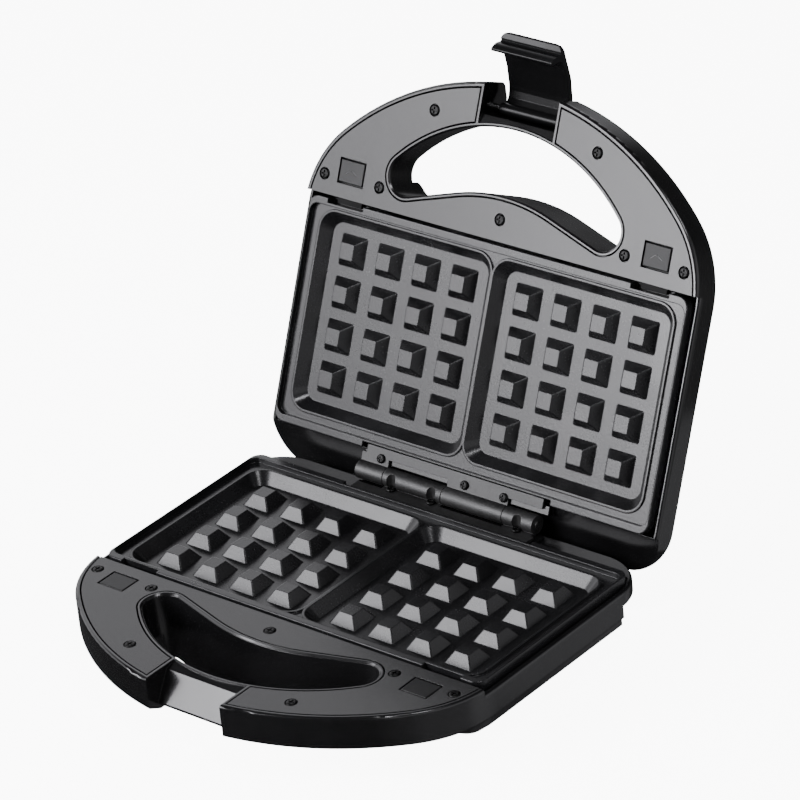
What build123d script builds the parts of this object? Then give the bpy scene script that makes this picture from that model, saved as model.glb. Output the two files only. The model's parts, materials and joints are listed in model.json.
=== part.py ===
from build123d import *
from math import acos, atan2, cos, hypot, pi, sin, sqrt
import os

os.makedirs("parts", exist_ok=True)

# Two-slice cooker with a hinged lid, in millimetres.
# Working frame of each half: X across, Y from the handle to the hinge, Z towards the food,
# with Z = 0 on the floor of the cooking compartments.
# Row frame: the base half's axes, with the origin at the middle of the bounding box's bottom.

# Cooking plate
compartment_length = 105.45
compartment_width = 98.8
compartment_depth = 5.7
web_half = 0.95
wall_run = 4.6
rim_corner = 8.8
floor_corner = 6.0
studs_per_side = 4
stud_base = 15.7
stud_top = 8.1
stud_height = 5.6
stud_corner = 0.9
stud_margin_x = 6.1
stud_margin_y = 5.0
bead_width = 1.2
groove_level = 4.75
groove_side = 5.4
groove_front = 1.2
groove_rear = 3.55
rim_level = 7.6
rim_side = 1.0
band_front = 3.8
band_rear = 3.8
band_bottom = -0.5
skirt_bottom = 2.0
plate_corner = 5.7
plate_thickness = 2.2
relief_strip = 0.95
tongue_length = 2.0
tongue_width = 10.0

# Lid over base
plate_gap = 0.5
open_angle = 113.28
pivot_behind_plate = 10.75
barrel_above_deck = 0.9

# Housings
wall = 2.35
plate_clearance = 1.85
cover_clearance = 1.4
handle_reach = 74.4
side_radius = 54.8
side_centre_behind_cover = 6.35
lip_level = 6.75
side_lip_level = 3.8
wall_foot = -9.5
foot_run = 7.6
handle_bottom = -13.3
body_bottom = -20.9
body_bottom_radius = 4.0
body_front_bulge = 20.0
body_corner = 14.0
base_rear_wall = 2.3
base_rear_chamfer = 25.0
base_rear_corner = 26.0
ear_level = -0.9
lid_rear_wall = 10.6
lid_rear_corner = 22.8
lid_ledge_drop = 10.45
lid_ledge_run = 21.4
edge_radius = {"lower": 1.0, "upper": 4.5}
rim_radius = 1.5
side_rim_radius = 1.9
pan_bottom = -25.0
pan_start = -19.6
pan_run = 6.5
pan_block_half = 88.0
vent_pitch = 10
vent_reach = 30
vent_width = 3.0
vent_length = 48.0
deck_thickness = 2.2

# Handles
cover_thickness = 2.2
seam = 0.8
hole_seam = 0.8
hole_end_radius = 12.35
hole_end_from_side = 58.8
hole_end_from_cover = 18.5
hole_front_margin = 18.3
hole_rear_bulge = 95.0
hole_rear_from_cover = 19.3
hole_lip = 2.6
hole_chamfer = 0.9
hole_draft = {"lower": 5.0, "upper": -2.0}
notch_half = 22.3
notch_strip = 4.6
notch_run = 8.0
notch_top = 4.5
notch_low = -8.9
notch_land = 1.2
notch_wall = 1.3
latch_half = 18.0

# Screws
screw_head_radius = 2.7
screw_head_height = 1.6
screw_head_recess = 1.3
screw_shank_radius = 1.4
screw_clearance = 0.1
screw_length = 11.0
boss_radius = 3.5

# Release buttons and catches
button_length = 14.7
button_width = 11.2
button_gap = 0.75
button_flange = 1.0
button_x_from_side = 26.45
button_from_cover = 13.3
button_travel = 3.0
catch_ratio = 0.8
catch_half = 7.4
catch_thickness = 2.0
catch_gap = 0.25
seat_gap = 0.03
notch_margin = 3.65
catch_notch_depth = 2.4
catch_rail = 9.4
catch_slide_back = 8.6
catch_level = -3.5
leg_half = 2.2
leg_bottom = -6.2
leg_foot = 2.6
spring_radius = 2.3
spring_wire = 0.35
spring_length = 7.0
spring_turns = 5

# Hinge
barrel_radius = 4.75
hinge_pin_radius = 2.0
pin_clearance = 0.05
leaf_thickness = 1.5
knuckle_gap = 0.2
knuckle_edges = (-57.0, -39.9, -3.8, 33.25, 51.7)
leaf_seat = 4.6
leaf_screw_from_pivot = 7.9
base_screw_from_pivot = 5.0
leaf_screw_head = 2.3
leaf_screw_head_height = 1.4
leaf_screw_length = 6.5
seat_half = 56.2

# Heating
element_radius = 3.25
element_gap = 0.2
tray_thickness = 0.8
tray_clearance = 0.4
tray_below_element = 1.5
thermostat_radius = 8.0
thermostat_flange = 13.0
element_leads = 9.0
element_clip_x = 45.0
fuse_x, fuse_y = 31.0, 18.0
fuse_length = 14.0
fuse_radius = 2.2
fuse_lead_reach = 15.0
fuse_drop = 2.4
terminal_x, terminal_y = -48.0, 31.0
terminal_size = (24.0, 14.0, 7.0)
terminal_pitch = 8.0
terminal_bore = 1.7
lens_radius = 3.4
lens_cap_height = 1.2
lens_inner_level = -17.4
lamp_spacing = 22.0
lamp_radius = 2.0
lamp_board_level = -14.6
lamp_board_half = 22.0
lamp_board_thickness = 1.4
lamp_post_x = 18.0
lamp_post_radius = 2.2
gland_bore = 3.3
gland_x = -70.0
gland_level = -13.0

# Latch
latch_pin_radius = 1.5
latch_knuckle = 3.0
latch_knuckle_gap = 0.4
latch_pivot_from_notch = 2.7
latch_pivot_level = -5.2
latch_boss_radius = 4.0
latch_pin_reach = 5.0
latch_corner = 4.0

# Feet
foot_height = 3.5
foot_radius = 9.0
foot_peg_radius = 2.4

# Worked-out places
rim_x = web_half + compartment_length
rim_y = compartment_width / 2
plate_half = rim_x + bead_width + groove_side + rim_side
plate_front = -(rim_y + bead_width + groove_front + band_front)
plate_rear = rim_y + bead_width + groove_rear + band_rear
half_width = plate_half + plate_clearance + wall
cover_rear = plate_front - cover_clearance
handle_front = cover_rear - handle_reach
pivot_y = plate_rear + pivot_behind_plate
pivot_level = side_lip_level + barrel_above_deck + barrel_radius
shut_height = 2 * rim_level + plate_gap
base_rear = pivot_y + base_rear_wall
lid_rear = pivot_y + lid_rear_wall
cover_inset = wall + seam
cover_bottom = lip_level - cover_thickness
bottom = {"lower": pan_bottom, "upper": body_bottom}
floor_level = {half: level + deck_thickness for half, level in bottom.items()}
handle_floor = handle_bottom + deck_thickness
body_half = half_width - foot_run
body_front = cover_rear - 3.0
well_rear = plate_rear + 0.8
underside = groove_level - plate_thickness + 0.2
element_level = -plate_thickness - element_gap - element_radius
tray_floor = element_level - element_radius - tray_below_element
tray_bottom = tray_floor - tray_thickness
tray_boss_x, tray_boss_y = plate_half - 22.0, rim_y - 11.4
tongue_x = tray_boss_x - 8
leaf_screw_y = {"lower": pivot_y - base_screw_from_pivot, "upper": pivot_y - leaf_screw_from_pivot}
leaf_seat_lid = pivot_level + 0.65
bore_radius = screw_shank_radius + screw_clearance
k = knuckle_edges
leaf_screws = {
    "lower": (k[1] + 5.7, k[2] - 5.7, (k[3] + k[4]) / 2),
    "upper": (-(k[0] + k[1]) / 2 - 3.7, -(k[2] + 10.5), -(k[3] - 2.8)),
}


def face_from(start, steps):
    """Face inside a closed run of lines (end,) and arcs (middle, end)."""
    edges, here = [], start
    for *middle, end in steps:
        edges.append(ThreePointArc(here, middle[0], end) if middle else Line(here, end))
        here = end
    return Face(Wire(edges))


def mirrored_face(start, steps):
    """Face whose right half runs from start on the mirror line and ends on that line."""
    ends = [start] + [step[-1] for step in steps]
    back = []
    for step, end in zip(reversed(steps), reversed(ends[:-1])):
        back.append(tuple((-x, y) for x, y in (*step[:-1], end)))
    return face_from(start, [*steps, *back])


def block(face, low, high):
    """Solid over face between two levels."""
    return extrude(Pos(0, 0, low) * face, high - low, dir=(0, 0, 1))


def tapered(top_face, high, bottom_face, low):
    """Solid with straight sides between a face at one level and a face at a lower one."""
    return loft([Pos(0, 0, low) * bottom_face, Pos(0, 0, high) * top_face], ruled=True)


def box(x0, x1, y0, y1, z0, z1):
    """Box between two corners."""
    size = (x1 - x0, y1 - y0, z1 - z0)
    return Pos((x0 + x1) / 2, (y0 + y1) / 2, (z0 + z1) / 2) * Box(*size)


def rod(x, y, low, high, radius):
    """Upright cylinder."""
    return Pos(x, y, (low + high) / 2) * Cylinder(radius, high - low)


def cross_rod(x0, x1, y, z, radius):
    """Cylinder along X."""
    return Pos((x0 + x1) / 2, y, z) * Rot(0, 90, 0) * Cylinder(radius, x1 - x0)


def side_slab(points, x0, x1):
    """Prism along X with an outline of (y, z) steps."""
    start, steps = points[0], [step if isinstance(step[0], tuple) else (step,) for step in points[1:]]
    outline = face_from(start, [*steps, (start,)])
    plane = Plane(origin=(x0, 0, 0), x_dir=(0, 1, 0), z_dir=(1, 0, 0))
    return extrude(plane * outline, x1 - x0, dir=(1, 0, 0))


def polar(centre, radius, angle):
    """Point on a circle, angle in radians."""
    return (centre[0] + radius * cos(angle), centre[1] + radius * sin(angle))


def bow_steps(apex, half, corner, centre_y, inset):
    """Right half of a long front arc that runs into a side arc, up to the straight side."""
    rise, centre_x = apex - centre_y, half - corner
    radius = (centre_x**2 + rise**2 - corner**2) / (-2 * (corner + rise))
    bow_centre, centre = (0, apex + radius), (centre_x, centre_y)
    tilt = atan2(centre_y - bow_centre[1], centre_x)
    join = polar(bow_centre, radius - inset, tilt)
    middle = polar(bow_centre, radius - inset, (tilt - pi / 2) / 2)
    side = polar(centre, corner - inset, tilt / 2)
    return [(middle, join), (side, (half - inset, centre_y))]


def outline(half, inset):
    """Housing outline at the lip, drawn in by inset."""
    centre_y = cover_rear + side_centre_behind_cover
    start = (0, handle_front + inset)
    steps = bow_steps(handle_front, half_width, side_radius, centre_y, inset)
    edge = half_width - inset
    rear, radius = (base_rear, base_rear_corner) if half == "lower" else (lid_rear, lid_rear_corner)
    corner = (half_width - radius, rear - radius)
    steps.append(((edge, corner[1]),))
    steps.append((polar(corner, radius - inset, pi / 4), (corner[0], rear - inset)))
    return mirrored_face(start, [*steps, ((0, rear - inset),)])


def body_outline(half, inset):
    """Outline of the deep part of a housing, behind the handle."""
    edge, corner, apex = body_half - inset, body_corner - inset, body_front - body_front_bulge
    rear = (base_rear if half == "lower" else lid_rear - foot_run) - inset
    steps = bow_steps(apex, body_half, body_corner, body_front + body_corner, inset)
    turn = corner * (1 - sqrt(0.5))
    if half == "lower":
        line = half_width - base_rear_chamfer + base_rear - inset * sqrt(2)
        steps += [((edge, line - edge),), ((line - rear, rear),)]
    else:
        steps += [((edge, rear - corner),), ((edge - turn, rear - turn), (edge - corner, rear))]
    return mirrored_face((0, apex + inset), [*steps, ((0, rear),)])


hole_end = (half_width - hole_end_from_side, cover_rear - hole_end_from_cover)
hole_front = handle_front + hole_front_margin
hole_rise = hole_front - hole_end[1]
hole_front_radius = (hole_end[0] ** 2 + hole_rise**2 - hole_end_radius**2) / (
    -2 * (hole_end_radius + hole_rise)
)
hole_front_centre = (0, hole_front + hole_front_radius)
hole_rear_centre = (0, cover_rear - hole_rear_from_cover + hole_rear_bulge)


def hole(inset):
    """Finger hole: a long front arc, two round ends and a rear edge that bulges to the front."""
    front_angle = atan2(hole_end[1] - hole_front_centre[1], hole_end[0])
    gap = (hole_end[0], hole_end[1] - hole_rear_centre[1])
    rear_angle = atan2(gap[1], gap[0]) - acos((hole_rear_bulge + hole_end_radius) / hypot(*gap))
    front, end, rear = hole_front_radius - inset, hole_end_radius - inset, hole_rear_bulge + inset
    steps = [
        (
            polar(hole_front_centre, front, (front_angle - pi / 2) / 2),
            polar(hole_front_centre, front, front_angle),
        ),
        (
            polar(hole_end, end, (front_angle + rear_angle + pi) / 2),
            polar(hole_end, end, rear_angle + pi),
        ),
        (polar(hole_rear_centre, rear, rear_angle),),
        (
            polar(hole_rear_centre, rear, (rear_angle - pi / 2) / 2),
            (0, hole_rear_centre[1] - rear),
        ),
    ]
    return mirrored_face((0, hole_front + inset), steps)


def hole_block(half, inset, low, high):
    """Solid that fills the finger hole, drawn in by inset at the lip and tapered by its draft."""
    draft = hole_draft[half] / (lip_level - bottom[half])
    insets = [inset + draft * (lip_level - level) for level in (high, low)]
    return tapered(hole(insets[0]), high, hole(insets[1]), low)


notch_back = handle_front + hole_front_margin + hole_lip - notch_strip
notch_lip = notch_back - notch_run
latch_pivot = (notch_back - latch_pivot_from_notch, latch_pivot_level)
latch_wall = latch_pivot[0] + latch_knuckle + latch_knuckle_gap
notch_face = {
    "lower": [
        (notch_back, notch_top),
        (notch_lip, notch_low),
        (notch_lip, notch_low - notch_land),
        (notch_lip + 3.6, notch_low - notch_land - 0.5),
        (notch_lip + 4.8, handle_bottom - 0.3),
        (notch_lip + 4.8, -30),
    ],
    "upper": [
        (latch_wall, notch_top),
        (latch_wall, latch_pivot[1] - latch_knuckle - 0.7),
        (latch_wall - 2.4, latch_pivot[1] - latch_knuckle - 1.1),
        (latch_wall - 2.4, -30),
    ],
}


def screw_places():
    """Places of a handle cover's seven screws."""
    side = [(half_width - 10.1, cover_rear - 9.6), (half_width - 44.4, cover_rear - 9.9)]
    side.append((half_width - 69.4, handle_front + 21.1))
    return [(0, cover_rear - 10.5)] + [(sign * x, y) for x, y in side for sign in (1, -1)]


button_x = half_width - button_x_from_side
button_y = cover_rear - button_from_cover
leg_rear = button_y + 3.8
catch_front = button_y - catch_slide_back
catch_rear = plate_front + catch_notch_depth - 0.7
catch_top = cover_bottom - catch_gap
upstand = cover_rear - 0.6


def corner_wedges(inset, level):
    """What the base lacks at its two rear corners, under their overhanging ears."""
    line = half_width - base_rear_chamfer + base_rear - inset * sqrt(2)
    far = half_width + 10
    corner = face_from((line - far, far), [((far, far),), ((far, line - far),), ((line - far, far),)])
    wedge = block(corner, body_bottom - 5, level)
    return wedge + mirror(wedge, Plane.YZ)


lamp_y = cover_rear - 3.0
feet = {
    "front_left": (-(body_half - 24.0), cover_rear + 14.0),
    "front_right": (body_half - 24.0, cover_rear + 14.0),
    "rear_left": (-(body_half - 34.6), base_rear - 17.0),
    "rear_right": (body_half - 34.6, base_rear - 17.0),
}


def side_rims(shell):
    """Straight top edges of a shell's two side walls."""
    rims = []
    for edge in shell.edges().filter_by(Axis.Y):
        middle = edge.center()
        if abs(middle.Z - side_lip_level) < 0.01 and abs(middle.X) > half_width - 0.1:
            rims.append(edge)
    return rims


def pan_under_body():
    """Deeper pan under the base, with a flush block at the front that closes the finger hole."""
    deep = body_outline("lower", 0)
    pan = block(deep, pan_start, wall_foot)
    pan += tapered(deep, pan_start, body_outline("lower", pan_run), pan_bottom)
    strip = box(-pan_block_half, pan_block_half, handle_front, cover_rear - 4, pan_bottom, pan_start)
    return pan + (block(deep, pan_bottom, pan_start) & strip)


def outer_form(half):
    """Outside of a housing, with no cavity."""
    full = outline(half, 0)
    form = block(full, wall_foot, lip_level)
    form = fillet(form.edges().group_by(Axis.Z)[-1], rim_radius)
    form += tapered(full, wall_foot, outline(half, foot_run), handle_bottom)
    bend = [edge for edge in form.edges() if abs(edge.center().Z - wall_foot) < 0.01]
    form = fillet(bend, edge_radius[half])
    if half == "lower":
        return form + pan_under_body() - corner_wedges(0, ear_level - deck_thickness)
    body = block(body_outline(half, 0), body_bottom, wall_foot)
    return form + fillet(body.edges().group_by(Axis.Z)[0], body_bottom_radius)


def inner_form(half):
    """Cavity of a housing, before its deck, bosses and walls are put back."""
    slope = (wall_foot - handle_bottom) / foot_run
    bend_level = wall_foot + wall * (1 + slope**2) ** 0.5 - wall * slope
    inner_run = wall + (bend_level - handle_floor) / slope
    form = block(outline(half, wall), bend_level, lip_level + 1)
    form += tapered(outline(half, wall), bend_level, outline(half, inner_run), handle_floor)
    deep = body_outline(half, wall)
    if half == "upper":
        return form + block(deep, floor_level[half], bend_level)
    pan_level = pan_start + 0.4
    form += block(deep, pan_level, bend_level)
    form += tapered(deep, pan_level, body_outline(half, pan_run + wall - 1.0), floor_level[half])
    return form - corner_wedges(wall, ear_level)


def lid_ledge():
    """What the lid lacks behind its plate, down to a sloping ledge."""
    low, rear = side_lip_level - 1, well_rear + lid_ledge_run
    points = [(well_rear, low), (rear, low - lid_ledge_drop), (rear, 12), (well_rear, 12)]
    return side_slab(points, -half_width - 1, half_width + 1)


def catch_supports(half):
    """Rails, cheeks and spring stops that guide the two catches, and the bosses for the tray."""
    low, supports = bottom[half], []
    stop, rear = catch_front - spring_length, upstand - 3
    for side in (1, -1):
        x = side * button_x
        for edge in (1, -1):
            rail = sorted((x + edge * 5.4, x + edge * catch_rail))
            supports.append(box(*rail, catch_front - 1, rear, handle_bottom, catch_level - 0.2))
            cheek = sorted((x + edge * (catch_half + 0.3), x + edge * catch_rail))
            supports.append(box(*cheek, catch_front - 1, rear, catch_level - 1, catch_level + 1.8))
        supports.append(box(x - 6, x + 6, stop - 2.4, stop, handle_bottom, catch_level + 4.8))
        for y in (tray_boss_y, -tray_boss_y):
            supports.append(rod(side * tray_boss_x, y, low, tray_bottom, boss_radius))
    return supports


def notch_walls(half):
    """Front strip and cheeks of the latch notch, and the lid's two bosses for the latch pin."""
    strip_rear = notch_back + notch_strip + 1
    strip_front = (notch_lip if half == "lower" else latch_wall - 2.4) - 1
    strip = [(strip_rear, 6.2), notch_face[half][0], (strip_front, notch_top)]
    strip += [(strip_front, handle_bottom), (strip_rear, handle_bottom)]
    reach = notch_half + notch_wall
    walls = [side_slab(strip, -reach, reach)]
    for side in (1, -1):
        cheek = sorted((side * notch_half, side * reach))
        walls.append(box(*cheek, handle_front - 1, notch_back + 6, handle_bottom, lip_level))
        if half == "upper":
            pad = sorted((side * notch_half, side * (notch_half + 7)))
            walls.append(cross_rod(*pad, *latch_pivot, latch_boss_radius))
    return walls


def housing(half):
    """Shell of one half: handle tray round the finger hole and a deeper body behind it."""
    low = bottom[half]
    outer, inner = outer_form(half), inner_form(half)
    if half == "lower":
        deck_bottom = side_lip_level - deck_thickness
        inner -= box(-half_width, half_width, well_rear, base_rear + 1, deck_bottom, 9)
        outer -= box(-half_width - 1, half_width + 1, cover_rear, base_rear + 1, side_lip_level, 9)
        seat_rear = pivot_y - barrel_radius + 2.55
        seat = box(-seat_half, seat_half, well_rear, seat_rear, side_lip_level - 1, leaf_seat)
        seat_room = box(-seat_half - 0.8, seat_half + 0.8, well_rear, pivot_y, 0, 6)
    else:
        inner -= Pos(0, 0, -deck_thickness * 1.1) * lid_ledge()
        outer -= lid_ledge()
        outer -= box(-half_width - 1, half_width + 1, cover_rear, well_rear, side_lip_level, 9)
        seat_rear = pivot_y - barrel_radius - 0.85
        seat = box(-seat_half, seat_half, well_rear, seat_rear, -4, shut_height - leaf_seat_lid)
        seat_room = box(-seat_half - 0.8, seat_half + 0.8, well_rear, pivot_y, -3, 7)
    outer = fillet(side_rims(outer), side_rim_radius)
    inside = [hole_block(half, hole_seam, low, lip_level), seat]
    inside += [rod(x, y, low, cover_bottom, boss_radius) for x, y in screw_places()]
    inside += catch_supports(half) + notch_walls(half)
    if half == "upper":
        for x in (lamp_post_x, -lamp_post_x):
            inside.append(rod(x, lamp_y, body_bottom, lamp_board_level, lamp_post_radius))
    keep = outer + seat_room
    shell = outer - inner
    for piece in inside:
        shell += piece & keep
    shell -= hole_block(half, hole_lip, low - 1, lip_level + 1)
    rim_cut = hole(hole_lip - 2 * hole_chamfer), lip_level + hole_chamfer
    shell -= tapered(*rim_cut, hole(hole_lip), lip_level - hole_chamfer)
    front = handle_front - 5
    cutter = [(front, 12), (notch_face[half][0][0], 12), *notch_face[half], (front, -30)]
    shell -= side_slab(cutter, -notch_half, notch_half)
    for x, y in screw_places():
        shell -= rod(x, y, cover_bottom - screw_length, cover_bottom + 1, bore_radius)
    for x in (tray_boss_x, -tray_boss_x):
        for y in (tray_boss_y, -tray_boss_y):
            shell -= rod(x, y, tray_bottom - 6, tray_bottom + 1, bore_radius)
    top = 1 + (leaf_seat if half == "lower" else shut_height - leaf_seat_lid)
    for x in leaf_screws[half]:
        shell -= rod(x, leaf_screw_y[half], top - 8, top, bore_radius)
    for opening in housing_openings(half):
        shell -= opening
    return shell


def housing_openings(half):
    """Openings in the base's floor and rear wall, or in the lid's top and deck."""
    low, high = bottom[half] - 1, floor_level[half] + 1
    openings = []
    if half == "lower":
        gland = Rot(90, 0, 0) * Cylinder(gland_bore + 1.4, 12)
        openings.append(Pos(gland_x, base_rear, gland_level) * gland)
        for x, y in feet.values():
            openings.append(rod(x, y, low, high, foot_peg_radius + 0.1))
        for x in range(-vent_reach, vent_reach + 1, vent_pitch):
            half_x, half_y = vent_width / 2, vent_length / 2
            openings.append(box(x - half_x, x + half_x, -half_y, half_y, low, high))
        return openings
    reach = notch_half + latch_pin_reach + 0.2
    openings.append(cross_rod(-reach, reach, *latch_pivot, latch_pin_radius + pin_clearance))
    for side in (1, -1):
        openings.append(rod(side * lamp_spacing / 2, lamp_y, low, high, lens_radius + 0.1))
        x, room = side * tongue_x, tongue_width / 2 + 0.4
        rear = plate_rear + tongue_length + 0.4
        openings.append(box(x - room, x + room, well_rear - 1, rear, -0.7, 1.8))
    return openings


def cover(half):
    """C-shaped handle cover with recessed screw holes and button openings."""
    strip = box(-half_width, half_width, handle_front - 1, cover_rear, cover_bottom, lip_level)
    panel = block(outline(half, cover_inset), cover_bottom, lip_level) & strip
    panel -= block(hole(0), cover_bottom - 1, lip_level + 1)
    middle = notch_half + notch_wall + seam
    panel -= box(-middle, middle, handle_front - 1, hole_front + 20, cover_bottom - 1, lip_level + 1)
    for side in (1, -1):
        half_x, half_y = button_length / 2 + button_gap, button_width / 2 + button_gap
        x = side * button_x
        panel -= box(x - half_x, x + half_x, button_y - half_y, button_y + half_y, 0, lip_level + 1)
    for x, y in screw_places():
        panel -= rod(x, y, lip_level - screw_head_recess, lip_level + 1, screw_head_radius + 0.4)
        panel -= rod(x, y, cover_bottom - 1, lip_level, bore_radius)
    return panel


def screw(x, y, seat, length, head=screw_head_radius, height=screw_head_height):
    """Round-headed screw with a cross recess, its head's underside at seat."""
    shank = rod(x, y, seat - length, seat + height / 2, screw_shank_radius)
    dome = fillet(rod(x, y, seat, seat + height, head).edges().group_by(Axis.Z)[-1], height * 0.6)
    body = shank + dome
    arm, slot = head * 0.62, head * 0.14
    top = seat + height
    for size in ((arm, slot), (slot, arm)):
        body -= box(x - size[0], x + size[0], y - size[1], y + size[1], top - height * 0.5, top + 1)
    return body


def plate():
    """Die-cast cooking plate: rim, groove, two compartments and their square studs."""
    span_x, span_y = plate_half, plate_rear - plate_front
    middle_y = (plate_rear + plate_front) / 2
    sheet = Pos(0, middle_y, 0) * RectangleRounded(2 * span_x, span_y, plate_corner)
    well_y0, well_y1 = plate_front + band_front, plate_rear - band_rear
    well_x = span_x - rim_side
    well = RectangleRounded(2 * well_x, well_y1 - well_y0, plate_corner - 1)
    well = Pos(0, (well_y0 + well_y1) / 2, 0) * well
    body = block(sheet, band_bottom, rim_level)
    body = fillet(body.edges().group_by(Axis.Z)[-1], 0.45)
    body -= block(well, groove_level, rim_level + 1)
    body -= block(well, band_bottom - 1, underside)
    for side in (1, -1):
        trim = sorted((side * (well_x - 20), side * (span_x + 1)))
        body -= box(*trim, well_y0, well_y1, band_bottom - 1, skirt_bottom)
    pan_x, pan_y = rim_x + 0.4, rim_y + 0.5
    pan_floor = RectangleRounded(2 * (pan_x - wall_run), 2 * (pan_y - wall_run), floor_corner).face()
    pan_top = RectangleRounded(2 * pan_x, 2 * pan_y, rim_corner).face()
    body += tapered(pan_top, underside, pan_floor, -plate_thickness)
    centre = web_half + compartment_length / 2
    sizes = (compartment_length, compartment_width)
    stud_foot = RectangleRounded(stud_base, stud_base, stud_corner).face()
    stud_face = RectangleRounded(stud_top, stud_top, stud_corner * 0.7).face()
    stud = tapered(stud_face, stud_height, stud_foot, 0)
    floor = [size - 2 * wall_run for size in sizes]
    pitch_x = (floor[0] - 2 * stud_margin_x - stud_base) / (studs_per_side - 1)
    pitch_y = (floor[1] - 2 * stud_margin_y - stud_base) / (studs_per_side - 1)
    ring = RectangleRounded(*[size + 2 * bead_width for size in sizes], rim_corner + bead_width)
    for side in (1, -1):
        bead = block(Pos(side * centre, 0, 0) * ring, groove_level - 0.5, compartment_depth)
        body += bead
    for side in (1, -1):
        here = Pos(side * centre, 0, 0)
        pocket_floor = RectangleRounded(*floor, floor_corner).face()
        pocket_rim = RectangleRounded(*sizes, rim_corner).face()
        body -= here * tapered(pocket_rim, compartment_depth, pocket_floor, 0)
        body -= block(here * pocket_rim, compartment_depth, rim_level + 1)
        grid = GridLocations(pitch_x, pitch_y, studs_per_side, studs_per_side)
        body = body.fuse(*[here * place * Pos(0, 0, -0.01) * stud for place in grid])
    notch = (button_x - catch_half - notch_margin, button_x + catch_half + notch_margin)
    for x0, x1 in (notch, (-notch[1], -notch[0])):
        body -= box(x0, x1, plate_front - 1, plate_front + catch_notch_depth, 2.1, rim_level + 1)
    relief, relief_half = plate_rear - band_rear + relief_strip, seat_half + 1.3
    body -= box(-relief_half, relief_half, relief, plate_rear + 1, band_bottom - 1, rim_level + 1)
    for x in (tongue_x, -tongue_x):
        half_x, rear = tongue_width / 2, plate_rear + tongue_length
        body += box(x - half_x, x + half_x, plate_rear - 1, rear, -0.3, 1.4)
    return body


element_run_y = rim_y - 17.4


def element():
    """Tubular heating element: a flat loop whose two ends leave by the tray's left wall."""
    left, right = -(rim_x - 18.4), rim_x - 20.4
    end = -(rim_x + 5.6)
    corners = [(end, -element_leads), (left, -element_leads)]
    corners += [(left, -element_run_y), (right, -element_run_y)]
    corners += [(x, -y) for x, y in reversed(corners)]
    path = FilletPolyline(*[(x, y, element_level) for x, y in corners], radius=10)
    return sweep(Plane(origin=path @ 0, z_dir=path % 0) * Circle(element_radius), path=path)


def element_clips():
    """Four cradles that carry the heating element on the tray."""
    pads = []
    for x in (element_clip_x, -element_clip_x):
        for y in (element_run_y, -element_run_y):
            pad = box(x - 5, x + 5, y - 4.5, y + 4.5, tray_floor + seat_gap, element_level - 0.9)
            pads.append(pad - cross_rod(x - 6, x + 6, y, element_level, element_radius + 0.2))
    return pads


def tray():
    """Sheet-metal reflector tray behind the element."""
    half_x, half_y = rim_x + 0.4 + tray_clearance, rim_y + 0.5 + tray_clearance
    t = tray_thickness
    body = block(RectangleRounded(2 * (half_x + t), 2 * (half_y + t), 4 + t), tray_bottom, underside)
    body -= block(RectangleRounded(2 * half_x, 2 * half_y, 4), tray_floor, underside + 1)
    body -= rod(0, 0, tray_bottom - 1, tray_floor + 1, thermostat_radius + 1.5)
    for y in (element_leads, -element_leads):
        body -= cross_rod(-half_x - 2, -half_x + 2, y, element_level, element_radius + 0.6)
    for x in (tray_boss_x, -tray_boss_x):
        for y in (tray_boss_y, -tray_boss_y):
            body -= rod(x, y, tray_bottom - 1, tray_floor + 1, screw_shank_radius + 0.3)
    return body


def tray_screws():
    """Four screws that hold the tray to the housing's bosses."""
    places = [(x, y) for x in (tray_boss_x, -tray_boss_x) for y in (tray_boss_y, -tray_boss_y)]
    return [screw(x, y, tray_floor + seat_gap, 6.0) for x, y in places]


def thermostat():
    """Disc thermostat under the middle of the plate, with a flange against the tray."""
    body = rod(0, 0, tray_bottom, -plate_thickness - element_gap, thermostat_radius)
    body += rod(0, 0, tray_bottom - 1.2, tray_bottom, thermostat_flange)
    body += rod(0, 0, tray_bottom - 5.4, tray_bottom - 1.2, thermostat_radius + 1)
    for side in (1, -1):
        ends = sorted((side * (thermostat_radius - 1), side * (thermostat_radius + 8)))
        body += box(*ends, -3.1, 3.1, tray_bottom - 3.6, tray_bottom - 2.8)
    return body


def thermal_fuse():
    """Thermal fuse with its two leads, under the tray."""
    level, reach = tray_bottom - fuse_drop, fuse_length / 2
    body = cross_rod(fuse_x - reach, fuse_x + reach, fuse_y, level, fuse_radius)
    return body + cross_rod(fuse_x - fuse_lead_reach, fuse_x + fuse_lead_reach, fuse_y, level, 0.5)


def fuse_clip():
    """Strap that holds the fuse to the tray."""
    level, half_y = tray_bottom - fuse_drop, fuse_radius + 1.2
    strap = box(fuse_x - 2, fuse_x + 2, fuse_y - half_y, fuse_y + half_y, level - 3.0, tray_bottom)
    return strap - cross_rod(fuse_x - 3, fuse_x + 3, fuse_y, level, fuse_radius + 0.1)


def terminal_block():
    """Three-way terminal block on the base's floor."""
    low, (length, width, height) = floor_level["lower"], terminal_size
    body = Pos(terminal_x, terminal_y, low + height / 2) * Box(length, width, height)
    for way in (-1, 0, 1):
        x, level = terminal_x + way * terminal_pitch, low + 3.2
        body -= Pos(x, terminal_y, level) * Rot(90, 0, 0) * Cylinder(terminal_bore, width + 6)
        body -= rod(x, terminal_y, level, low + height + 1, 1.5)
    return body


def cord_gland():
    """Gland in the base's rear wall, bored for a cord."""
    collar, neck = gland_bore + 2.0, gland_bore + 1.2
    nut, flange = (-5.4, -wall - 0.1, collar), (0.05, 1.7, collar)
    spigot, sleeve = (-wall - 0.2, 0.2, neck), (1.6, 6.0, neck - 0.1)
    body = Pos(0, 0, 0) * Rot(90, 0, 0) * Cylinder(neck - 0.2, 1)
    for y0, y1, radius in (nut, spigot, flange, sleeve):
        body += Pos(0, (y0 + y1) / 2, 0) * Rot(90, 0, 0) * Cylinder(radius, y1 - y0)
    body -= Rot(90, 0, 0) * Cylinder(gland_bore, 40)
    return Pos(gland_x, base_rear, gland_level) * body


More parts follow.
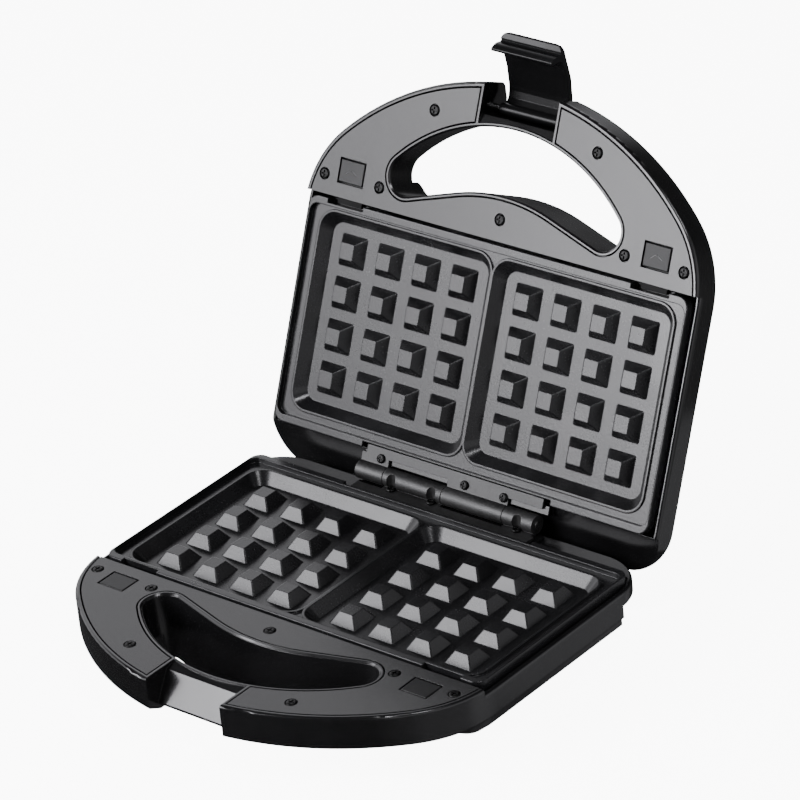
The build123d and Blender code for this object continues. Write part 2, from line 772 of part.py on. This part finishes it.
def foot(place):
    """Moulded foot with a peg into the base's floor."""
    x, y = place
    low = pan_bottom - foot_height
    body = Pos(x, y, (low + pan_bottom) / 2) * Cone(foot_radius - 0.8, foot_radius, foot_height)
    body = fillet(body.edges().group_by(Axis.Z)[0], 1.0)
    return body + rod(x, y, pan_bottom - 1, floor_level["lower"] + 1.6, foot_peg_radius)


def release_button(side):
    """Square push button: cap, flange under the cover and a wedge leg for the catch."""
    x = side * button_x
    cap = box(
        x - button_length / 2,
        x + button_length / 2,
        button_y - button_width / 2,
        button_y + button_width / 2,
        cover_bottom - 1.0,
        lip_level,
    )
    body = fillet(cap.edges().group_by(Axis.Z)[-1], 0.5)
    half_x = button_length / 2 + button_gap + button_flange
    half_y = button_width / 2 + button_gap + 0.6
    top = cover_bottom - 0.35
    body += box(x - half_x, x + half_x, button_y - half_y, button_y + half_y, top - 1.2, top)
    high, foot_y = top - 1.0, leg_rear - leg_foot
    slant = catch_ratio * (high - leg_bottom)
    leg = [(leg_rear, leg_bottom), (leg_rear, high), (foot_y - slant, high), (foot_y, leg_bottom)]
    return body + side_slab(leg, x - leg_half, x + leg_half)


def catch(side):
    """Sliding catch: slotted slide, upstand and the nose that holds the plate's rim."""
    x, slide_top = side * button_x, catch_level + catch_thickness
    body = box(x - catch_half, x + catch_half, catch_front, upstand, catch_level, slide_top)
    body += box(x - catch_half, x + catch_half, upstand - 2.4, upstand, catch_level, catch_top)
    nose_bottom = catch_top - catch_thickness
    body += box(x - catch_half, x + catch_half, upstand - 1, catch_rear, nose_bottom, catch_top)
    body += box(x - 4, x + 4, catch_front, catch_front + 1.4, catch_level, catch_level + 4.6)
    low, high = catch_level - 1, slide_top + 1
    front_low, front_high = [
        leg_rear - leg_foot - catch_ratio * (level - leg_bottom) - 0.15 for level in (low, high)
    ]
    rear = leg_rear + button_travel * catch_ratio + 0.4
    slot = [(rear, low), (rear, high), (front_high, high), (front_low, low)]
    return body - side_slab(slot, x - leg_half - 0.3, x + leg_half + 0.3)


def catch_spring(side):
    """Coil spring between a catch and its stop."""
    length = spring_length - 0.2 - 2 * spring_wire
    start = catch_front - 0.1 - spring_wire - length
    radius = spring_radius - spring_wire
    coil = Helix(length / spring_turns, length, radius, direction=(0, 1, 0))
    coil = Pos(side * button_x, start, catch_level + spring_radius + 0.1) * coil
    wire = Plane(origin=coil @ 0, z_dir=coil % 0) * Circle(spring_wire)
    return sweep(wire, path=coil, is_frenet=True)


def knuckles(edges):
    """Barrel pieces on the hinge axis."""
    barrel = None
    for x0, x1 in edges:
        piece = cross_rod(x0 + knuckle_gap, x1 - knuckle_gap, pivot_y, pivot_level, barrel_radius)
        barrel = piece if barrel is None else barrel + piece
    return barrel


def lower_leaf():
    """Fixed hinge leaf with its two knuckles."""
    spans = [(k[1], k[2]), (k[3], k[4])]
    top = leaf_seat + leaf_thickness
    front = pivot_y - barrel_radius - 0.8
    body = box(k[0] + 2.8, k[4] + 1.5, plate_rear - 0.95, front, leaf_seat, top)
    for x0, x1 in spans:
        body += box(x0 + knuckle_gap, x1 - knuckle_gap, pivot_y - 8, pivot_y, leaf_seat + 0.1, top)
    body += knuckles(spans)
    body -= cross_rod(k[0] - 1, k[4] + 1, pivot_y, pivot_level, hinge_pin_radius + pin_clearance)
    y, clear = leaf_screw_y["lower"], leaf_screw_head + 0.4
    for x in leaf_screws["lower"]:
        body -= rod(x, y, leaf_seat - 1, top + 1, bore_radius)
        body -= rod(x, y, top, pivot_level + barrel_radius + 1, clear)
    return body


def upper_leaf():
    """Moving hinge leaf with its two knuckles, drawn shut."""
    spans = [(k[0], k[1]), (k[2], k[3])]
    low = leaf_seat_lid - leaf_thickness
    body = box(k[0] + 2.8, k[4] + 1.5, plate_rear - 2.3, pivot_y - 8.2, low, leaf_seat_lid)
    for x0, x1 in spans:
        x1 = min(x1, k[3]) - knuckle_gap
        body += box(x0 + knuckle_gap, x1, pivot_y - 9, pivot_y, low, leaf_seat_lid)
    body += knuckles(spans)
    body -= cross_rod(k[0] - 1, k[4] + 1, pivot_y, pivot_level, hinge_pin_radius + pin_clearance)
    for x in leaf_screws["upper"]:
        body -= rod(-x, leaf_screw_y["upper"], low - 1, leaf_seat_lid + 1, bore_radius)
    return body


def latch():
    """Latch in the lid's frame, standing up: knuckle, arm, hook and thumb tab."""
    y, z = latch_pivot
    arm = [(-1.0, -1.2), (-5.7, -2.9), (-9.3, -2.4), (-11.8, -1.6), (-20.9, 2.9)]
    arm += [(-25.5, 6.1), (-29.6, 9.5)]
    hook = [(-28.7, 13.4), (-27.6, 16.8), ((-28.6, 17.6), (-29.6, 17.0)), ((-31.3, 15.0), (-32.2, 11.6))]
    tab = [(-33.1, 10.7), (-34.0, 11.5), (-36.6, 11.3), ((-37.4, 10.4), (-36.8, 9.2))]
    rear = [(-33.0, 7.6), (-27.0, 3.2), (-22.2, -0.2), (-12.0, -4.6), (-7.0, -5.6), (-0.5, -2.9)]

    def moved(step):
        if isinstance(step[0], tuple):
            return tuple(moved(point) for point in step)
        return (y + step[0], z + step[1])

    body = side_slab([moved(step) for step in arm + hook + tab + rear], -latch_half, latch_half)
    tab_y, low, high = y - 33.2, z + 5, z + 13
    for side in (1, -1):
        inner_x = side * (latch_half - latch_corner)
        corner = box(*sorted((inner_x, side * (latch_half + 1))), tab_y - 7, tab_y, low, high)
        body -= corner - rod(inner_x, tab_y, low - 2, high + 2, latch_corner)
    body += cross_rod(-latch_half, latch_half, y, z, latch_knuckle)
    return body - cross_rod(-latch_half - 1, latch_half + 1, y, z, latch_pin_radius + pin_clearance)


def lens(side):
    """Indicator lens in the lid's top."""
    x = side * lamp_spacing / 2
    body = rod(x, lamp_y, body_bottom, lens_inner_level, lens_radius)
    cap = rod(x, lamp_y, body_bottom - lens_cap_height, body_bottom - seat_gap, lens_radius + 0.9)
    return body + fillet(cap.edges().group_by(Axis.Z)[0], 0.7)


def lamp_board():
    """Small board with the two lamps behind their lenses."""
    low, high = lamp_board_level, lamp_board_level + lamp_board_thickness
    body = box(-lamp_board_half, lamp_board_half, lamp_y - 3.4, lamp_y + 4.4, low, high)
    for side in (1, -1):
        body += rod(side * lamp_spacing / 2, lamp_y, lens_inner_level + 0.2, low, lamp_radius)
    return body


base_place = Pos(0, 0, foot_height - pan_bottom)
hinge_line = Pos(0, pivot_y, pivot_level)
swing = base_place * hinge_line * Rot(-open_angle, 0, 0) * hinge_line.inverse()
lid_place = swing * Pos(0, 0, shut_height) * Rot(0, 180, 0)
pin_line = Pos(0, *latch_pivot)

nodes = {}
for half, place in (("lower", base_place), ("upper", lid_place)):
    nodes[f"{half}_housing"] = place * housing(half)
    nodes[f"{half}_handle_cover"] = place * cover(half)
    seat = lip_level - screw_head_recess + seat_gap
    screws = [screw(x, y, seat, screw_length - 1.5) for x, y in screw_places()]
    nodes[f"{half}_cover_screws"] = [place * piece for piece in screws]
    nodes[f"{half}_cooking_plate"] = place * plate()
    nodes[f"{half}_heating_element"] = place * element()
    nodes[f"{half}_element_clips"] = [place * piece for piece in element_clips()]
    nodes[f"{half}_reflector_tray"] = place * tray()
    nodes[f"{half}_tray_screws"] = [place * piece for piece in tray_screws()]
    nodes[f"{half}_thermostat"] = place * thermostat()
    for side, name in ((-1, "left"), (1, "right")):
        way = side if half == "lower" else -side
        nodes[f"{half}_release_button_{name}"] = place * release_button(way)
        nodes[f"{half}_plate_catch_{name}"] = place * catch(way)
        nodes[f"{half}_catch_spring_{name}"] = place * catch_spring(way)

nodes["thermal_fuse"] = base_place * thermal_fuse()
nodes["fuse_clip"] = base_place * fuse_clip()
nodes["terminal_block"] = base_place * terminal_block()
nodes["cord_gland"] = base_place * cord_gland()
for name, place in feet.items():
    nodes[f"foot_{name}"] = base_place * foot(place)
nodes["lower_hinge_leaf"] = base_place * lower_leaf()
nodes["upper_hinge_leaf"] = swing * upper_leaf()
leaf_tops = {
    "lower": leaf_seat + leaf_thickness,
    "upper": shut_height - leaf_seat_lid + leaf_thickness,
}
for half, place in (("lower", base_place), ("upper", lid_place)):
    size = (leaf_screw_length, leaf_screw_head, leaf_screw_head_height)
    screws = [screw(x, leaf_screw_y[half], leaf_tops[half], *size) for x in leaf_screws[half]]
    nodes[f"{half}_hinge_screws"] = [place * piece for piece in screws]
hinge_pin = cross_rod(k[0] - 0.3, k[4] + 0.3, pivot_y, pivot_level, hinge_pin_radius)
nodes["hinge_pin"] = base_place * hinge_pin
nodes["latch"] = lid_place * latch()
latch_pin_half = notch_half + latch_pin_reach
latch_pin = cross_rod(-latch_pin_half, latch_pin_half, *latch_pivot, latch_pin_radius)
nodes["latch_pin"] = lid_place * latch_pin
nodes["power_lamp_lens"] = lid_place * lens(1)
nodes["ready_lamp_lens"] = lid_place * lens(-1)
nodes["lamp_board"] = lid_place * lamp_board()

shapes = {}
for name, made in nodes.items():
    pieces = made if isinstance(made, list) else [made]
    solids = [solid for piece in pieces for solid in piece.solids()]
    shapes[name] = solids[0] if len(solids) == 1 else Compound(children=solids)
every_solid = [copy for shape in shapes.values() for copy in shape.solids()]
bounds = Compound(children=every_solid).bounding_box()
shift = Pos(0, -(bounds.min.Y + bounds.max.Y) / 2, 0)
for name, shape in shapes.items():
    export_step(shift * shape, f"parts/{name}.step")

hinge_at = (shift * base_place * hinge_line).position
latch_at = (shift * lid_place * pin_line).position
print("nodes", len(shapes), "bounds", bounds.min, bounds.max, "shift", shift.position)
print("lid hinge", tuple(hinge_at), "latch hinge", tuple(latch_at))
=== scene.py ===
# %% [markdown]
# # A two-slice cooker with its lid open
#
# The machine stands open on a pale floor, lit by a broad soft light at its front left.
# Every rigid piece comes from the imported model, which arrives as the fixed frame. This lesson
# gives each of them its finish, adds the raised marks on the lid's two buttons, and sets up the
# light and the camera.

# %% Load the frame
import json
from math import cos, pi, radians, sin

import bpy
from mathutils import Matrix, Vector


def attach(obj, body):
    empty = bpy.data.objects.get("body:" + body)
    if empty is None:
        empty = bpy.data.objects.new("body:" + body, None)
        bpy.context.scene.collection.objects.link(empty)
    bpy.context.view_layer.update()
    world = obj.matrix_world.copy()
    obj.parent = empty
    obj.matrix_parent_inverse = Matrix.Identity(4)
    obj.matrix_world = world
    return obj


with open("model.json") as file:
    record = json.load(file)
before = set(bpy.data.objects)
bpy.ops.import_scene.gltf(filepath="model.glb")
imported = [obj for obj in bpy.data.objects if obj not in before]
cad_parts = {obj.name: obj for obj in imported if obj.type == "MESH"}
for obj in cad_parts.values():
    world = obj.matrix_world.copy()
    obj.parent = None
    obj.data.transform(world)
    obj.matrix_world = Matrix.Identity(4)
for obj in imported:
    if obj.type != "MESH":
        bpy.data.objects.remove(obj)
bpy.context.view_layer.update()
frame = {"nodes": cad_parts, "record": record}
nodes = frame["nodes"]

# %% [markdown]
# ## The camera
#
# The photograph was taken with a long lens, from the front right and above, and the machine
# fills the frame. A long lens keeps the two rows of studs nearly parallel, so the distance
# matters as much as the direction. The camera is tilted about its own line of sight by a few
# degrees, so its three axes are worked out here and put straight into its matrix. The lens is
# given as its distance from the picture in pixels, which Blender wants in millimetres of sensor.

# %% Camera
look_at = Vector((-0.0876993, 0.1208624, 0.03458))
distance = 2.480222
picture_width, lens_in_pixels, sensor_width = 800, 4974.7, 36
azimuth, elevation, roll = radians(41.635), radians(28.378), radians(-5.761)
back = Vector((sin(azimuth) * cos(elevation), -cos(azimuth) * cos(elevation), sin(elevation)))
level_right = Vector((cos(azimuth), sin(azimuth), 0))
level_up = back.cross(level_right)
right = cos(roll) * level_right + sin(roll) * level_up
up = -sin(roll) * level_right + cos(roll) * level_up

bpy.ops.object.camera_add()
camera = bpy.context.object
camera.name = "camera"
camera.data.sensor_width = sensor_width
camera.data.lens = lens_in_pixels / picture_width * sensor_width
camera.data.clip_end = 50
turn = Matrix((right, up, back)).transposed().to_4x4()
camera.matrix_world = Matrix.Translation(look_at + back * distance) @ turn
bpy.context.scene.camera = camera
print("lens in mm", round(camera.data.lens, 2), "at", tuple(round(v, 4) for v in camera.location))

# %% [markdown]
# ## Nodes written as sums
#
# A finish is mostly arithmetic: this much grain, times that mask, plus a base value. Placing
# every Math node by hand buries the idea, so one small class holds a socket and lets Python's
# own signs add the nodes. Another holds the tree and adds any other kind of node.

# %% Sockets that can be added and multiplied
class Wire:
    """One output socket, which can be used in sums."""

    def __init__(self, graph, socket):
        self.graph, self.socket = graph, socket

    def math(self, operation, first, second):
        return self.graph.node("ShaderNodeMath", {"operation": operation}, {0: first, 1: second})

    def __add__(self, other):
        return self.math("ADD", self, other)

    def __mul__(self, other):
        return self.math("MULTIPLY", self, other)

    def __rsub__(self, other):
        return self.math("SUBTRACT", other, self)

    __radd__, __rmul__ = __add__, __mul__


class Graph:
    """A node tree, with one method that adds any node."""

    def __init__(self, tree):
        self.tree = tree

    def node(self, kind, settings, sockets, output=0):
        made = self.tree.nodes.new(kind)
        for name, value in settings.items():
            setattr(made, name, value)
        for name, value in sockets.items():
            if isinstance(value, Wire):
                self.tree.links.new(value.socket, made.inputs[name])
            else:
                made.inputs[name].default_value = value
        return Wire(self, made.outputs[output])


# %% [markdown]
# ## What every finish shares
#
# A finish starts from the Principled shader, with its constants set on the shader's own
# sockets. Noise at three sizes does most of the work: broad clouds for handling marks, a
# middle size for the slight unevenness of a moulded or coated wall, and a very fine one for
# grain. Object coordinates are in metres here, so a scale of 1000 has features about a
# millimetre across.

# %% A finish with noise, bump and rounded edges
class Finish(Graph):
    """A material: the Principled shader and what feeds it."""

    def __init__(self, name, **constants):
        self.material = bpy.data.materials.new(f"finish_{name}")
        self.material.use_nodes = True
        super().__init__(self.material.node_tree)
        self.shader = self.tree.nodes["Principled BSDF"]
        for socket, value in constants.items():
            self.shader.inputs[socket.replace("_", " ")].default_value = value
        self.place = self.node("ShaderNodeTexCoord", {}, {}, "Object")

    def feed(self, socket, wire):
        self.tree.links.new(wire.socket, self.shader.inputs[socket])

    def noise(self, scale, detail=2.0, stretch=(1, 1, 1)):
        """Noise from about 0.3 to 0.7, stretched along an axis where a scale is small."""
        place = self.node("ShaderNodeMapping", {}, {"Vector": self.place, "Scale": stretch})
        return self.node("ShaderNodeTexNoise", {}, {"Vector": place, "Scale": scale, "Detail": detail})

    def span(self, wire, low, high, start, end):
        """Maps a wire's values from low...high to start...end, smoothly."""
        ends = {"Value": wire, "From Min": low, "From Max": high, "To Min": start, "To Max": end}
        return self.node("ShaderNodeMapRange", {"interpolation_type": "SMOOTHSTEP"}, ends)

    def colours(self, factor, first, second):
        """Mixes two colours by a factor, which is 0 for the first and 1 for the second."""
        settings = {"data_type": "RGBA", "blend_type": "MIX"}
        return self.node("ShaderNodeMix", settings, {0: factor, 6: (*first, 1), 7: (*second, 1)}, 2)

    def relief(self, height, strength, depth, edge):
        """Feeds Normal with a bump, over edges that are softened by a small radius."""
        sockets = {"Height": height, "Strength": strength, "Distance": depth}
        sockets["Normal"] = self.node("ShaderNodeBevel", {"samples": 6}, {"Radius": edge})
        self.feed("Normal", self.node("ShaderNodeBump", {}, sockets))


# %% [markdown]
# ## Gloss black shells
#
# The two outer shells are black plastic from a polished mould, so they act as dark mirrors:
# nearly all that shows is what they reflect. The base colour stays very low and the roughness
# small. Broad clouds in the roughness stand for handling, and a faint swell in the normal
# keeps long reflections from being ruler straight.

# %% Shells
def gloss_black(name, tone, rough, swell, shine=0.5):
    finish = Finish(name, Specular_IOR_Level=shine)
    cloud = finish.noise(16, 3)
    fine = finish.noise(420, 2)
    dark, light = (tone, tone, tone * 1.06), (tone * 1.9, tone * 1.9, tone * 2.0)
    finish.feed("Base Color", finish.colours(finish.span(cloud, 0.35, 0.7, 0, 1), dark, light))
    finish.feed("Roughness", finish.span(cloud, 0.35, 0.65, rough, rough * 1.55) + fine * 0.02)
    finish.relief(finish.noise(swell, 1) + fine * 0.05, 0.12, 0.0006, 0.0004)
    return finish


shell = gloss_black("gloss_black_shell", 0.0035, 0.15, 34)
latch_black = gloss_black("gloss_black_latch", 0.004, 0.24, 60, 0.16)
print("gloss finishes", shell.material.name, latch_black.material.name)

# %% [markdown]
# ## Satin grey handle covers
#
# The covers over the handles come from a mould with an even spark-eroded surface. It scatters
# the light, so the covers turn grey wherever the lamp is, while the shells stay black. A very
# fine noise makes that surface, and the roughness rises a little in clouds. The buttons have a
# duller version of it.

# %% Covers and buttons
def satin(name, tone, rough, grain, relief=0.35, shine=0.5):
    finish = Finish(name, Specular_IOR_Level=shine)
    cloud, speck = finish.noise(22, 3), finish.noise(grain, 2)
    dark, light = (tone * 0.9,) * 3, (tone * 1.12, tone * 1.12, tone * 1.14)
    mixed = cloud * 0.6 + speck * 0.4
    finish.feed("Base Color", finish.colours(finish.span(mixed, 0.38, 0.62, 0, 1), dark, light))
    finish.feed("Roughness", finish.span(cloud, 0.35, 0.65, rough * 0.92, rough * 1.08) + speck * 0.04)
    finish.relief(speck, relief, 0.00012, 0.0003)
    return finish


cover_satin = satin("satin_grey_cover", 0.013, 0.21, 2600, 0.2, 0.37)
button_satin = satin("satin_grey_button", 0.010, 0.36, 2600, 0.3, 0.22)
print("satin finishes", cover_satin.material.name, button_satin.material.name)

# %% [markdown]
# ## The coated plates
#
# The cooking plates are cast metal with a sprayed non-stick coat. The coat is dark and smooth
# to the touch, with a very fine orange peel and a few brighter specks of its filler. Its sheen
# changes slowly in clouds, and the bump softens the edges of every stud.

# %% Non-stick coat
nonstick = Finish("nonstick_coat", Specular_IOR_Level=0.36)
peel, cloud, speck = nonstick.noise(900, 3), nonstick.noise(28, 3), nonstick.noise(5200, 1)
spots = nonstick.span(speck, 0.66, 0.74, 0, 1)
tone = nonstick.span(cloud * 0.75 + peel * 0.25, 0.38, 0.62, 0, 0.8) + spots * 0.3
nonstick.feed("Base Color", nonstick.colours(tone, (0.007, 0.007, 0.0075), (0.015, 0.015, 0.0158)))
nonstick.feed("Roughness", nonstick.span(cloud, 0.35, 0.65, 0.19, 0.25) + peel * 0.04)
nonstick.relief(peel, 0.12, 0.0002, 0.0007)
print("coat nodes", len(nonstick.tree.nodes))

# %% [markdown]
# ## Metals
#
# The hinge, the screws and the catches are blackened steel, each a little darker than the one
# before. The pins, clips and trays are bright. Rolled sheet shows fine lines in one direction,
# and stretching a noise along one axis draws them.

# %% Steels
def steel(name, dark, light, rough, lines, edge=0.0002):
    finish = Finish(name, Metallic=1.0)
    grain = finish.noise(900, 2, lines)
    cloud = finish.noise(45, 3)
    mixed = grain * 0.55 + cloud * 0.45
    wear = finish.span(mixed, 0.35, 0.65, 0, 1)
    finish.feed("Base Color", finish.colours(wear, (dark,) * 3, (light,) * 3))
    finish.feed("Roughness", finish.span(mixed, 0.35, 0.65, rough, rough * 1.35))
    finish.relief(grain, 0.25, 0.00008, edge)
    return finish


blackened = steel("blackened_steel", 0.055, 0.080, 0.45, (1, 1, 1), 0.0003)
screw_black = steel("blackened_screw", 0.010, 0.024, 0.33, (1, 1, 1), 0.0002)
catch_steel = steel("catch_steel", 0.004, 0.010, 0.40, (0.06, 1, 1))
pin_steel = steel("pin_steel", 0.45, 0.60, 0.20, (0.05, 1, 1))
sheet_steel = steel("rolled_sheet", 0.50, 0.66, 0.30, (0.04, 1, 1))
zinc = steel("zinc_plate", 0.48, 0.62, 0.33, (1, 1, 1))
element_steel = steel("heated_tube", 0.16, 0.30, 0.38, (0.2, 1, 1))
steels = (blackened, screw_black, catch_steel, pin_steel, sheet_steel, zinc, element_steel)
print("steels", [finish.material.name for finish in steels])

# %% [markdown]
# ## Small parts
#
# Ceramic, rubber, lenses and the little board finish the list. The lenses let light into
# them, and the rubber has a dusty bloom that makes it paler in patches.

# %% Ceramic, rubber, board and lenses
ceramic = satin("white_ceramic", 0.72, 0.42, 1500, 0.3)
gland_black = satin("gland_plastic", 0.020, 0.42, 1800)
board = satin("lamp_board_resin", 0.09, 0.38, 1200, shine=0.4)

rubber = Finish("foot_rubber", Specular_IOR_Level=0.3)
bloom, grit = rubber.noise(60, 4), rubber.noise(1900, 2)
rubber.feed("Base Color", rubber.colours(rubber.span(bloom, 0.35, 0.7, 0, 1), (0.012,) * 3, (0.026,) * 3))
rubber.feed("Roughness", rubber.span(bloom, 0.35, 0.65, 0.62, 0.8))
rubber.relief(grit, 0.4, 0.0002, 0.0006)


def clear(name, dark, light):
    finish = Finish(name, IOR=1.49, Transmission_Weight=0.45)
    cloud = finish.noise(240, 2)
    finish.feed("Base Color", finish.colours(finish.span(cloud, 0.3, 0.7, 0, 1), dark, light))
    finish.feed("Roughness", finish.span(cloud, 0.35, 0.65, 0.08, 0.16))
    finish.relief(cloud, 0.1, 0.0002, 0.0003)
    return finish


lens_red = clear("red_lens", (0.42, 0.012, 0.010), (0.60, 0.03, 0.02))
lens_green = clear("green_lens", (0.02, 0.34, 0.06), (0.04, 0.50, 0.10))
print("materials", len(bpy.data.materials))

# %% [markdown]
# ## Giving each piece its finish
#
# The record says which material slot each piece belongs to, and one table joins those slots to
# the finishes above. The frame's own materials are swapped for these; no mesh is changed. The
# screws share the hinge's slot, so they are told apart by name to get their darker finish.

# %% Assign
finishes = {
    "housing_gloss": shell,
    "cover_satin": cover_satin,
    "button_satin": button_satin,
    "latch_plastic": latch_black,
    "nonstick": nonstick,
    "element_steel": element_steel,
    "sheet_steel": sheet_steel,
    "zinc_steel": zinc,
    "blackened_steel": blackened,
    "catch_steel": catch_steel,
    "pin_steel": pin_steel,
    "ceramic": ceramic,
    "foot_rubber": rubber,
    "gland_plastic": gland_black,
    "lens_red": lens_red,
    "lens_green": lens_green,
    "board": board,
}
used = {}
for part in frame["record"]["subparts"]:
    finish = finishes[part["material_slot"]]
    if part["node"].endswith("_screws") and part["material_slot"] == "blackened_steel":
        finish = screw_black
    piece = nodes[part["node"]]
    piece.data.materials.clear()
    piece.data.materials.append(finish.material)
    used[finish.material.name] = used.get(finish.material.name, 0) + 1
print("pieces by finish", used)

# %% [markdown]
# ## Press marks on the lid's buttons
#
# The two release buttons in the lid carry a small raised chevron that says which way to push.
# Each mark is modelled flat at the origin: a cube is stretched to a bar and turned, and its copy
# is mirrored to make the other arm. Then the mesh is turned and moved onto its button, so the
# object itself stays at the origin. Its place is the middle of the button's own front corners,
# found along the direction that the open lid faces. A small bevel rounds the bars as a mould
# would. The mark rides with its button, so it goes down when the button is pressed.

# %% Press marks
lid_tilt = radians(66.72)
face_band = 0.0002
bar = (0.0042, 0.0006, 0.0003)
bar_turn, bar_shift, bar_rounding = radians(35), 0.0016, 0.00012


def press_mark(button):
    """Raised chevron on one of the lid's release buttons."""
    corners = nodes[button].data.vertices
    out = Vector((0, -sin(lid_tilt), cos(lid_tilt)))
    top = max(vertex.co @ out for vertex in corners)
    cap = [vertex.co for vertex in corners if vertex.co @ out > top - face_band]
    centre = sum(cap, Vector()) / len(cap)
    bpy.ops.object.select_all(action="DESELECT")
    bpy.ops.mesh.primitive_cube_add(size=1, location=(0, 0, 0))
    mark = bpy.context.object
    mark.name = button.replace("release_button", "press_mark")
    bpy.ops.object.mode_set(mode="EDIT")
    bpy.ops.mesh.select_all(action="SELECT")
    bpy.ops.transform.resize(value=bar, center_override=(0, 0, 0))
    bpy.ops.transform.rotate(value=bar_turn, orient_axis="Z", center_override=(0, 0, 0))
    bpy.ops.transform.translate(value=(bar_shift, 0, 0))
    bpy.ops.mesh.duplicate()
    bpy.ops.transform.mirror(constraint_axis=(True, False, False), center_override=(0, 0, 0))
    bpy.ops.mesh.select_all(action="SELECT")
    bpy.ops.mesh.normals_make_consistent(inside=False)
    bpy.ops.object.mode_set(mode="OBJECT")
    mark.data.transform(Matrix.Translation(centre) @ Matrix.Rotation(lid_tilt, 4, "X"))
    bevel = mark.modifiers.new("rounding", "BEVEL")
    bevel.width, bevel.segments = bar_rounding, 2
    bpy.ops.object.modifier_apply(modifier=bevel.name)
    mark.data.materials.append(cover_satin.material)
    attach(mark, button)
    print(mark.name, "on", button, "at", tuple(round(v, 4) for v in centre))


for side in ("left", "right"):
    press_mark(f"upper_release_button_{side}")

# %% [markdown]
# ## The floor
#
# The floor is a plain pale sheet. It glows for the camera alone, so it can be nearly white
# without lighting the machine from below, and reflections pass it by.

# %% Floor
floor_size = 14
white_to_camera = 9.0
lamp_colour = (0.965, 0.962, 1.0)

bpy.ops.object.select_all(action="DESELECT")
bpy.ops.mesh.primitive_plane_add(size=floor_size, location=(0, 0, 0))
floor = bpy.context.object
floor.name = "floor"
paper = Finish("floor_paper", Specular_IOR_Level=0.1)
fibre = paper.noise(30, 4)
paper.feed("Base Color", paper.colours(fibre, (0.90, 0.90, 0.90), (0.94, 0.94, 0.935)))
paper.feed("Roughness", paper.span(fibre, 0.3, 0.7, 0.75, 0.9))
straight = paper.node("ShaderNodeLightPath", {}, {}, "Is Camera Ray")
paper.feed("Emission Color", paper.colours(straight, (0, 0, 0), (1, 1, 1)))
paper.shader.inputs["Emission Strength"].default_value = white_to_camera
floor.data.materials.append(paper.material)
floor.visible_glossy = False
print(floor.name, "is", floor_size, "m square")

# %% [markdown]
# ## The room
#
# Wherever no lamp is, the black surfaces mirror the world around the machine. It is a quiet grey
# at both sides, up to about the height of the key light, and nearly dark elsewhere. The light is
# worked out from the direction alone: `across` runs from the left to the right, and `height`
# from below to above, both from -1 to 1. The camera itself sees plain white.

# %% Room
world = bpy.data.worlds.new("studio")
bpy.context.scene.world = world
world.use_nodes = True
room = Graph(world.node_tree)
way = room.node("ShaderNodeTexCoord", {}, {}, "Generated")
axis = room.node("ShaderNodeSeparateXYZ", {}, {"Vector": way})
across, height = Wire(room, axis.socket.node.outputs["X"]), Wire(room, axis.socket.node.outputs["Z"])


def fade(wire, low, high, start, end):
    """Smooth change of light with direction."""
    ends = {"Value": wire, "From Min": low, "From Max": high, "To Min": start, "To Max": end}
    return room.node("ShaderNodeMapRange", {"interpolation_type": "SMOOTHSTEP"}, ends)


left_wall = fade(across, -0.6, -0.2, 2.0, 0.0) * fade(height, -0.05, 0.15, 0.0, 1.0)
right_wall = fade(across, 0.40, 0.80, 0.0, 1.2) * fade(height, -0.12, 0.12, 0.33, 1.0)
left_part = left_wall * fade(height, 0.50, 0.66, 1.0, 0.04)
right_part = right_wall * fade(height, 0.50, 0.80, 1.0, 0.0)
glow = 0.05 + left_part + right_part
seen = room.node("ShaderNodeLightPath", {}, {}, "Is Camera Ray")
strength = glow * (1 - seen) + seen * white_to_camera
background = world.node_tree.nodes["Background"]
background.inputs["Color"].default_value = (*lamp_colour, 1)
world.node_tree.links.new(strength.socket, background.inputs["Strength"])
print("room nodes", len(world.node_tree.nodes))

# %% [markdown]
# ## Soft lights
#
# The machine is mostly black and shiny, so each light is placed by what should show in its
# surfaces. The key at the front left is three rectangles over one another: a broad one that
# turns the lid's plate grey, a brighter one across its upper half that makes every stud's front
# face pale, and a small one at its lower right for the right-hand covers. A small lamp high at
# the right draws the fine line along the rims, and a faint card low beside the base shows the
# curve of its side. The strength of an area light is given in watts, so the radiance wanted is
# multiplied by its area and by pi.

# %% Soft lights
def soft_light(name, bearing, rise, far, size, radiance, middle=(0, 0, 0.1)):
    """Rectangular soft light that faces the machine. Its bearing counts from the front to the left."""
    bearing, rise = radians(bearing), radians(rise)
    outward = Vector((-sin(bearing) * cos(rise), -cos(bearing) * cos(rise), sin(rise)))
    bpy.ops.object.light_add(type="AREA", location=Vector(middle) + outward * far)
    light = bpy.context.object
    light.name = name
    light.rotation_euler = outward.to_track_quat("Z", "Y").to_euler()
    light.data.shape = "RECTANGLE"
    light.data.size, light.data.size_y = size
    light.data.energy = radiance * pi * size[0] * size[1]
    light.data.color = lamp_colour
    light.visible_camera = False


key_distance = 1.7
soft_light("key", 33, 22, key_distance, (1.10, 1.0), 4.6)
soft_light("key_high", 33, 28, key_distance, (1.10, 0.48), 11.5)
soft_light("key_right", 26, 14, key_distance, (0.54, 0.24), 20.0)
soft_light("ridge", -62, 65, 1.6, (0.30, 0.30), 30.0)
soft_light("low_right", -110, -30, 0.16, (0.24, 0.10), 0.35, (0.06, 0.02, 0.08))
